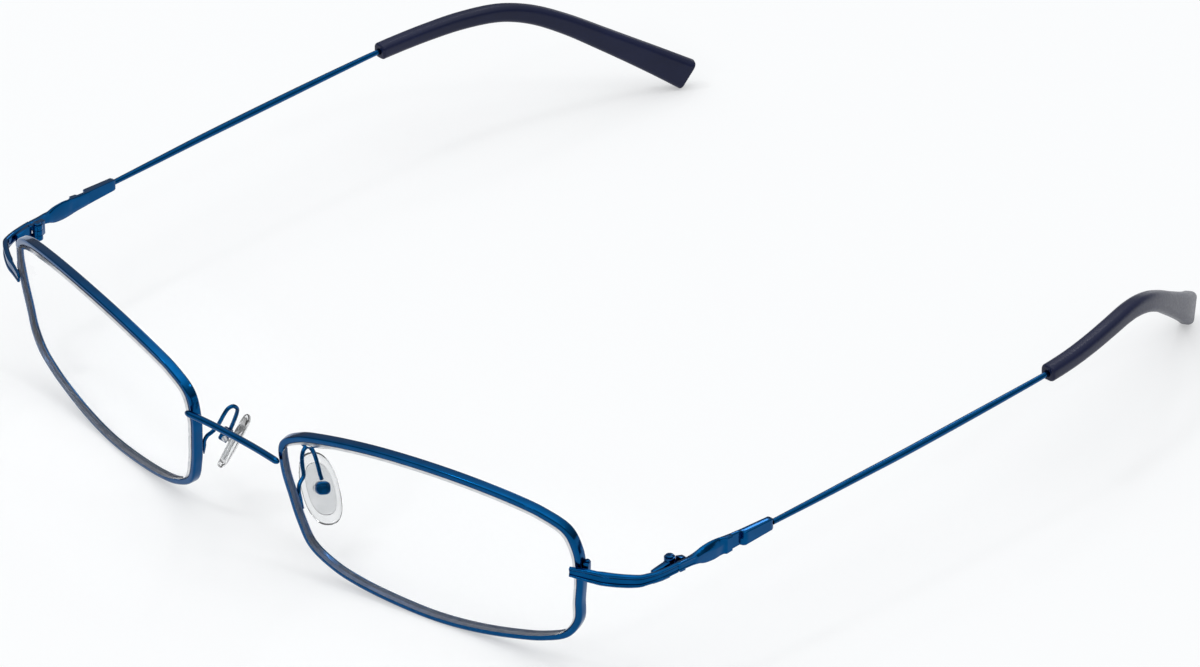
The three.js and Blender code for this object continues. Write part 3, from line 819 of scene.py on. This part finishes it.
def rim_lock(side, label):
    """The block behind the endpiece in two halves, and the screw that draws them together."""
    inner, outer, front, back = (LOCK[key] for key in ("inner", "outer", "front", "back"))
    outline = [
        (inner, front),
        (outer, front),
        (outer, back - LOCK_CHAMFER),
        (outer - LOCK_CHAMFER, back),
        (inner, back),
    ]
    for part, bottom, top in (
        ("rim_lock_lower_", LOCK["bottom"], LOCK["split"] - GAP),
        ("rim_lock_upper_", LOCK["split"] + GAP, LOCK["top"]),
    ):
        name = part + label
        block = at_lock(Body().add_skin(raised(outline, bottom, top)))
        made = make_object("metal_" + name, block, side, [BLUE])
        ease_edges(made, 0.12, 40, 4)
        finish_piece(made, "front", [name])
    middle = ((inner + outer) / 2, (front + back) / 2, 0)

    def on_block(body):
        return at_lock(moved(body, 0, middle))

    name = "rim_lock_screw_" + label
    shank, head, height = (LOCK_SCREW[key] for key in ("shank", "head", "height"))
    sizes = (shank, head, LOCK["bottom"] + GAP, LOCK["top"] + HEAD_LIFT, LOCK["top"] + height)
    screw_at("metal_" + name, on_block, sizes, side, "front", name, BLUE)


# ---- Hinge --------------------------------------------------------------------------------------


def at_hinge(body):
    return moved(body, 0, (*HINGE_AXIS, 0))


def knuckle_outline(way):
    """A barrel drawn out into the web that ties it to its leaf, in front (-1) or behind (1)."""
    inner, reach = KNUCKLE_WEB["inner"], way * KNUCKLE_WEB["reach"]
    web_start = way * math.acos(inner / BARREL_RADIUS)
    free_half = -way * np.linspace(0, math.pi, 25)
    web_half = np.linspace(way * math.pi, web_start, 12)[1:]
    angles = np.concatenate([free_half, web_half])
    barrel = [(BARREL_RADIUS * math.cos(angle), BARREL_RADIUS * math.sin(angle)) for angle in angles]
    return barrel + [(inner, reach), (BARREL_RADIUS, reach)]


def hinge_leaf(name, plate, way, knuckles, side, carrier, node):
    """A leaf: its plate and the knuckles tied to it."""
    plate = np.array(plate)
    body = Body().add_skin(raised(plate[:, :2], HINGE_BOTTOM, plate[:, 2]))
    for bottom, top in knuckles:
        body.add_skin(raised(knuckle_outline(way), bottom, top))
    made = make_object(name, at_hinge(body), side, [BLUE])
    ease_edges(made, 0.09, 40, 3)
    finish_piece(made, carrier, [node])


def hinge(side, label):
    knuckle = (HINGE_TOP - HINGE_BOTTOM - 2 * GAP) / 3
    outer_knuckles = [(HINGE_BOTTOM, HINGE_BOTTOM + knuckle), (HINGE_TOP - knuckle, HINGE_TOP)]
    middle_knuckle = [(HINGE_BOTTOM + knuckle + GAP, HINGE_TOP - knuckle - GAP)]
    front_node = "hinge_front_leaf_" + label
    temple_node = "hinge_temple_leaf_" + label
    hinge_leaf("metal_" + front_node, FRONT_LEAF, -1, outer_knuckles, side, "front", front_node)
    hinge_leaf("metal_" + temple_node, TEMPLE_LEAF, 1, middle_knuckle, side, "temple_" + label, temple_node)
    name = "hinge_screw_" + label
    radius, height = HINGE_HEAD["radius"], HINGE_HEAD["height"]
    sizes = (HINGE_PIN_RADIUS, radius, HINGE_BOTTOM, HINGE_TOP + HEAD_LIFT, HINGE_TOP + height)
    screw_at("metal_" + name, at_hinge, sizes, side, "front", name, BLUE)


# ---- Temple -------------------------------------------------------------------------------------

# The plate's inner face: height share, how far its corners are eased, how far its hollow goes in.
PLATE_INNER = [
    (0.97, 0.06, 0.0),
    (0.9, 0.0, 0.0),
    (0.45, 0.0, 0.05),
    (0.0, 0.0, 0.1),
    (-0.45, 0.0, 0.05),
    (-0.9, 0.0, 0.0),
    (-0.97, 0.06, 0.0),
]


def plate_section(y, inner, outer, bottom, top):
    """The plate's section: beads where it carries the strip on, a crested leaf, then a flat bar."""
    middle, half = (bottom + top) / 2, (top - bottom) / 2
    leaf = smoothstep((y - 18.6) / 1.2) * smoothstep((24.5 - y) / 1.0)
    strip = smoothstep((19.2 - y) / 0.8)
    crest = 0.45 - 0.25 * smoothstep((y - 19.5) / 4)
    section = []
    for height in np.linspace(-1, 1, 41):
        ridge = abs(height)
        bead = 0.13 * max(0.0, 1 - ((ridge - 0.74) / 0.26) ** 2) ** 0.5 - 0.13
        above = height > crest
        reach = 1 - crest if above else 1 + crest
        fall = (0.42 if above else 0.16) * (abs(height - crest) / reach) ** 1.15
        corner = 0.2 * max(0.0, (ridge - 0.86) / 0.14) ** 2
        face = outer + 0.65 * strip * bead - leaf * (fall - 0.05) - corner
        section.append((face, y, middle + half * height))
    for height, ease, hollow in PLATE_INNER:
        section.append((inner + ease - leaf * hollow, y, middle + half * height))
    return section


def temple_plate(side, label):
    stations = np.array(TEMPLE_PLATE)
    along = stations[:, 0]
    ys = np.unique(np.concatenate([np.linspace(a, b, 11) for a, b in zip(along, along[1:])]))
    leaf = smooth_route(stations[:7], 12)
    in_leaf = ys <= along[5]
    columns = []
    for column in range(1, 5):
        curved = np.interp(ys, leaf[:, 0], leaf[:, column])
        straight = np.interp(ys, along, stations[:, column])
        columns.append(np.where(in_leaf, curved, straight))
    rings = []
    for y, inner, outer, bottom, top in zip(ys, *columns):
        from_end = min(y - along[0], along[-1] - y)
        shrink = 0.1 * (1 - math.sqrt(min(1.0, from_end / 0.12)))
        rings.append(plate_section(y, inner + shrink, outer - shrink, bottom + shrink, top - shrink))
    name = "temple_plate_" + label
    body = Body().add_skin(rings)
    piece("metal_" + name, body, side, [BLUE], "temple_" + label, [name], 38)


def temple_route():
    return smooth_route(TEMPLE_ROUTE, 24)


def temple_ring(route, distance, section):
    """A section of the temple at a distance along it, its height kept upright."""
    centre, along = (row[0] for row in along_route(route, [distance]))
    sideways = unit(np.cross(along, (0, 0, 1)))
    up = np.cross(sideways, along)
    return [centre + a * sideways + b * up for a, b in section]


def wire_radius(distance):
    return WIRE_RADIUS + WIRE_SWELL * math.sin(math.pi * min(1, distance / TIP_START))


def temple_wire(side, label):
    route = temple_route()
    rings = [temple_ring(route, d, circle(wire_radius(d), 20)) for d in np.linspace(0, WIRE_END, 150)]
    name = "temple_wire_" + label
    body = Body().add_skin(rings)
    piece("metal_" + name, body, side, [BLUE], "temple_" + label, [name])


def temple_tip(side, label):
    """A sleeve with a blind socket for the wire; it grows taller towards its end."""
    route = temple_route()
    total = lengths(route)[-1]
    count = 40
    bore = circle(WIRE_RADIUS + GAP, count)
    mouth = circle(WIRE_RADIUS + 3 * GAP, count)
    skin = [temple_ring(route, d, bore) for d in np.linspace(SOCKET_END, TIP_START + 0.1, 12)]
    skin.append(temple_ring(route, TIP_START, mouth))

    def outside(share, shrink, distance):
        growth = TIP_GROWTH[0] * share + TIP_GROWTH[1] * share**3
        height = TIP_THICKNESS + growth - 2 * shrink
        section = rounded_box(TIP_THICKNESS - 2 * shrink, height, TIP_EDGE - shrink * 0.6, count // 4)
        return temple_ring(route, distance, section)

    quarter = np.linspace(0, 1, 6) * math.pi / 2
    for angle in quarter:
        distance = TIP_START + TIP_EASE * (1 - math.cos(angle))
        skin.append(outside(0, TIP_EASE * (1 - math.sin(angle)), distance))
    for share in np.linspace(0, 1, 70)[1:-1]:
        skin.append(outside(share, 0, TIP_START + TIP_EASE + (total - TIP_START - 2 * TIP_EASE) * share))
    for angle in quarter:
        distance = total - TIP_EASE * (1 - math.sin(angle))
        skin.append(outside(1, TIP_EASE * (1 - math.cos(angle)), distance))
    name = "temple_tip_" + label
    body = Body().add_skin(skin)
    piece("navy_" + name, body, side, [NAVY], "temple_" + label, [name])


# ---- Nose pad -----------------------------------------------------------------------------------


def pad_basis():
    width = unit(PAD_WIDTH_AXIS)
    up = unit(np.cross(unit(PAD_NOSE_AXIS), width))
    return np.array([width, up, np.cross(width, up)])


def at_pad(body):
    """Turns a body drawn with x across, y up and z to the nose into its place."""
    basis = pad_basis()
    body.points = [PAD_PIVOT + np.asarray(point) @ basis for point in body.points]
    return body


def pad_outline(scale, sides):
    """A slanted oval, a little longer below the pivot."""
    angles = 2 * np.pi * (np.arange(sides) + 0.5) / sides
    c, s = np.cos(angles), np.sin(angles)
    fullness = 2 / 2.4
    length = PAD_HALF_LENGTH * scale * np.sign(s) * np.abs(s) ** fullness
    width = PAD_HALF_WIDTH * scale * np.sign(c) * np.abs(c) ** fullness
    return np.column_stack([width + PAD_SLANT * length, length - PAD_DROP])


def pad_ring(scale, height, sides=72):
    return np.column_stack([pad_outline(scale, sides), np.full(sides, PAD_BACK + height)])


def nose_pad(side, label):
    """The soft pad: a pocket for the insert at its back and a domed face to the nose."""
    pocket = CORE_SCALE + 0.02
    rings = [pad_ring(scale * pocket, PAD_POCKET) for scale in (0.3, 0.7, 1)]
    for scale, height in ((pocket, 0.35), (pocket, 0.06), (pocket + 0.02, 0.0), (0.86, 0.0)):
        rings.append(pad_ring(scale, height))
    for step in np.linspace(0, 1, 6)[1:]:
        angle = step * math.pi / 2
        rings.append(pad_ring(0.9 + 0.1 * math.sin(angle), PAD_SHOULDER * (1 - math.cos(angle))))
    for step in np.linspace(0, 1, 10)[1:]:
        angle = step * math.pi / 2
        rings.append(pad_ring(1 - 0.3 * (1 - math.cos(angle)), PAD_SHOULDER + 0.75 * math.sin(angle)))
    rings += [pad_ring(0.4, PAD_THICKNESS - 0.03), pad_ring(0.12, PAD_THICKNESS)]
    name = "nose_pad_" + label
    body = at_pad(Body().add_skin(rings))
    piece("clear_" + name, body, side, [SILICONE], "pad_" + label, [name], 60)


def pad_core(side, label):
    """The stiff insert: a round-edged plate in the pad's pocket and a tongue that turns on the pad screw."""
    profile = [(0.3, 0.05), (0.8, 0.05), (0.9, 0.05), (0.97, 0.11), (1, 0.22)]
    profile += [(1, 0.48), (0.97, 0.59), (0.9, 0.65), (0.8, 0.65), (0.3, 0.65)]
    name = "pad_core_" + label
    plate = Body().add_skin([pad_ring(scale * CORE_SCALE, height) for scale, height in profile])
    made = make_object("milky_" + name, at_pad(plate), side, [INSERT])
    half, top, thickness = TONGUE_RADIUS, PAD_BACK + 0.2, CAVITY["half_width"] - GAP
    arc = [(half * math.cos(a), half * math.sin(a)) for a in np.linspace(math.pi, 2 * math.pi, 20)]
    tongue = Body().add_skin(raised([(-half, top)] + arc + [(half, top)], -thickness, thickness))
    tongue.points = [np.array([point[2], point[0], point[1]]) for point in tongue.points]
    boolean(made, make_object("tongue", at_pad(tongue), side, [INSERT]), "UNION")
    finish_piece(made, "pad_" + label, [name])


def pad_box(side, label):
    """A small oval cup, open towards the nose, with a round recess in its closed end."""
    back, front, ease = (BOX[key] for key in ("back", "front", "ease"))
    per_corner = 8
    rings = []

    def add_ring(width, length, corner, height):
        section = rounded_box(width, length, corner, per_corner)
        rings.append(np.column_stack([section, np.full(len(section), height)]))

    def add_outside(shrink, height):
        width, length = 2 * (BOX["half_width"] - shrink), 2 * (BOX["half_length"] - shrink)
        add_ring(width, length, BOX["corner"] - shrink, height)

    recess, mouth = BOX_RECESS["radius"], BOX_RECESS["mouth"]
    for radius, deep in ((recess, BOX_RECESS["depth"]), (recess, 0.05), (mouth, 0)):
        add_ring(2 * radius, 2 * radius, radius, back + deep)
    for step in np.linspace(0, 1, 6):
        angle = step * math.pi / 2
        add_outside(ease * (1 - math.sin(angle)), back + ease * (1 - math.cos(angle)))
    for shrink, deep in ((0, 0.08), (0.03, 0.02), (0.08, 0)):
        add_outside(shrink, front - deep)
    width, length = 2 * CAVITY["half_width"], 2 * CAVITY["half_length"]
    for grow, height in ((1.06, front), (1, front - 0.06), (1, CAVITY["floor"])):
        add_ring(width * grow, length * grow, CAVITY["corner"] * grow, height)
    name = "pad_box_" + label
    piece("metal_" + name, at_pad(Body().add_skin(rings)), side, [BLUE], "front", [name])


def pad_screw(side, label):
    name = "pad_screw_" + label

    def lying(body):
        body.points = [np.array([point[2], point[1], -point[0]]) for point in body.points]
        return at_pad(body)

    half_width = BOX["half_width"]
    head_bottom = half_width + HEAD_LIFT
    shank, head, height, proud = (PAD_SCREW[key] for key in ("shank", "head", "height", "proud"))
    sizes = (shank, head, -half_width - proud, head_bottom, head_bottom + height)
    screw_at("steel_" + name, lying, sizes, side, "front", name, STEEL)


def pad_arm(side, label):
    route = smooth_route(PAD_ARM_ROUTE, 16)

    def radius(share):
        return PAD_WIRE_RADIUS * min(1, 0.35 + 6 * share)

    rings = tube(route, radius, 130, 18, (0, 1, 0))
    name = "pad_arm_" + label
    piece("metal_" + name, Body().add_skin(rings), side, [BLUE], "front", [name])


# ---- Assembly -----------------------------------------------------------------------------------

bridge()
side_parts = [rim, lens, endpiece, rim_lock, hinge, temple_plate, temple_wire, temple_tip]
side_parts += [pad_arm, pad_box, pad_screw, pad_core, nose_pad]
for side, label in ((1, "left"), (-1, "right")):
    for build in side_parts:
        build(side, label)

# ---- Floor, light and camera --------------------------------------------------------------------

FLOOR_HALF = 6.0
CAMERA_AZIMUTH = math.radians(45.03)
CAMERA_ELEVATION = math.radians(30.03)
CAMERA_ROLL = math.radians(0.09)
CAMERA_DISTANCE = 1.06
CAMERA_TARGET = (-0.0016, 0.0017, 0.0042)
CAMERA_LENS = 214.73
BACKDROP = (0.93, 0.94, 0.95, 1.0)
WORLD_STRENGTH = 0.88
SOFTBOX_DISTANCE = 1.6

# Height in the sky and brightness there.
STUDIO_LIGHT = [(0.0, 0.16), (0.3, 0.40), (0.6, 0.62), (0.82, 1.2), (1.0, 2.6)]

# Name, azimuth from the front towards +X and elevation in degrees, size in metres and power.
SOFTBOXES = [
    ("key", -35, 62, 0.2, 1.8),
    ("front", 10, 30, 0.16, 0.9),
    ("fill", 110, 48, 0.2, 0.9),
    ("back", 215, 40, 0.2, 0.7),
]


def make_floor():
    corners = [(-1, -1), (1, -1), (1, 1), (-1, 1)]
    mesh = bpy.data.meshes.new("floor")
    mesh.from_pydata([(FLOOR_HALF * x, FLOOR_HALF * y, 0) for x, y in corners], [], [(0, 1, 2, 3)])
    mesh.materials.append(floor_paper())
    floor = bpy.data.objects.new("floor", mesh)
    bpy.context.scene.collection.objects.link(floor)


def make_world():
    """A pale studio: bright overhead, darker walls for reflections, and a plain pale backdrop to the eye."""
    world = bpy.data.worlds.new("studio")
    bpy.context.scene.world = world
    world.use_nodes = True
    tree = world.node_tree
    background = tree.nodes["Background"]
    coordinates = tree.nodes.new("ShaderNodeTexCoord")
    separate = tree.nodes.new("ShaderNodeSeparateXYZ")
    ramp = tree.nodes.new("ShaderNodeValToRGB")
    paths = tree.nodes.new("ShaderNodeLightPath")
    mix = tree.nodes.new("ShaderNodeMix")
    mix.data_type = "RGBA"
    tree.links.new(coordinates.outputs["Generated"], separate.inputs["Vector"])
    tree.links.new(separate.outputs["Z"], ramp.inputs["Fac"])
    tree.links.new(paths.outputs["Is Camera Ray"], mix.inputs[0])
    tree.links.new(ramp.outputs["Color"], mix.inputs[6])
    mix.inputs[7].default_value = BACKDROP
    tree.links.new(mix.outputs[2], background.inputs["Color"])
    elements = ramp.color_ramp.elements
    while len(elements) < len(STUDIO_LIGHT):
        elements.new(0.5)
    for element, (position, level) in zip(elements, STUDIO_LIGHT):
        element.position = position
        element.color = (level * 0.985, level * 0.992, level, 1)
    background.inputs["Strength"].default_value = WORLD_STRENGTH


def direction_to(azimuth, elevation):
    """The unit vector from the glasses to a place round them: azimuth from the front towards +X."""
    level = math.cos(elevation)
    return Vector((math.sin(azimuth) * level, -math.cos(azimuth) * level, math.sin(elevation)))


def add_softbox(name, azimuth, elevation, size, power):
    direction = direction_to(math.radians(azimuth), math.radians(elevation))
    light = bpy.data.lights.new(name, "AREA")
    light.shape = "DISK"
    light.size = size
    light.energy = power
    lamp = bpy.data.objects.new(name, light)
    lamp.location = direction * SOFTBOX_DISTANCE
    lamp.rotation_euler = direction.to_track_quat("Z", "Y").to_euler()
    bpy.context.scene.collection.objects.link(lamp)


def make_camera():
    direction = direction_to(CAMERA_AZIMUTH, CAMERA_ELEVATION)
    data = bpy.data.cameras.new("camera")
    data.lens = CAMERA_LENS
    data.clip_start = 0.01
    data.clip_end = 100
    camera = bpy.data.objects.new("camera", data)
    place_matrix = Matrix.Translation(Vector(CAMERA_TARGET) + direction * CAMERA_DISTANCE)
    turn = direction.to_track_quat("Z", "Y").to_matrix().to_4x4()
    camera.matrix_world = place_matrix @ turn @ Matrix.Rotation(CAMERA_ROLL, 4, "Z")
    bpy.context.scene.collection.objects.link(camera)
    bpy.context.scene.camera = camera


make_floor()
make_world()
for softbox in SOFTBOXES:
    add_softbox(*softbox)
make_camera()
bpy.context.scene.view_settings.view_transform = "Standard"
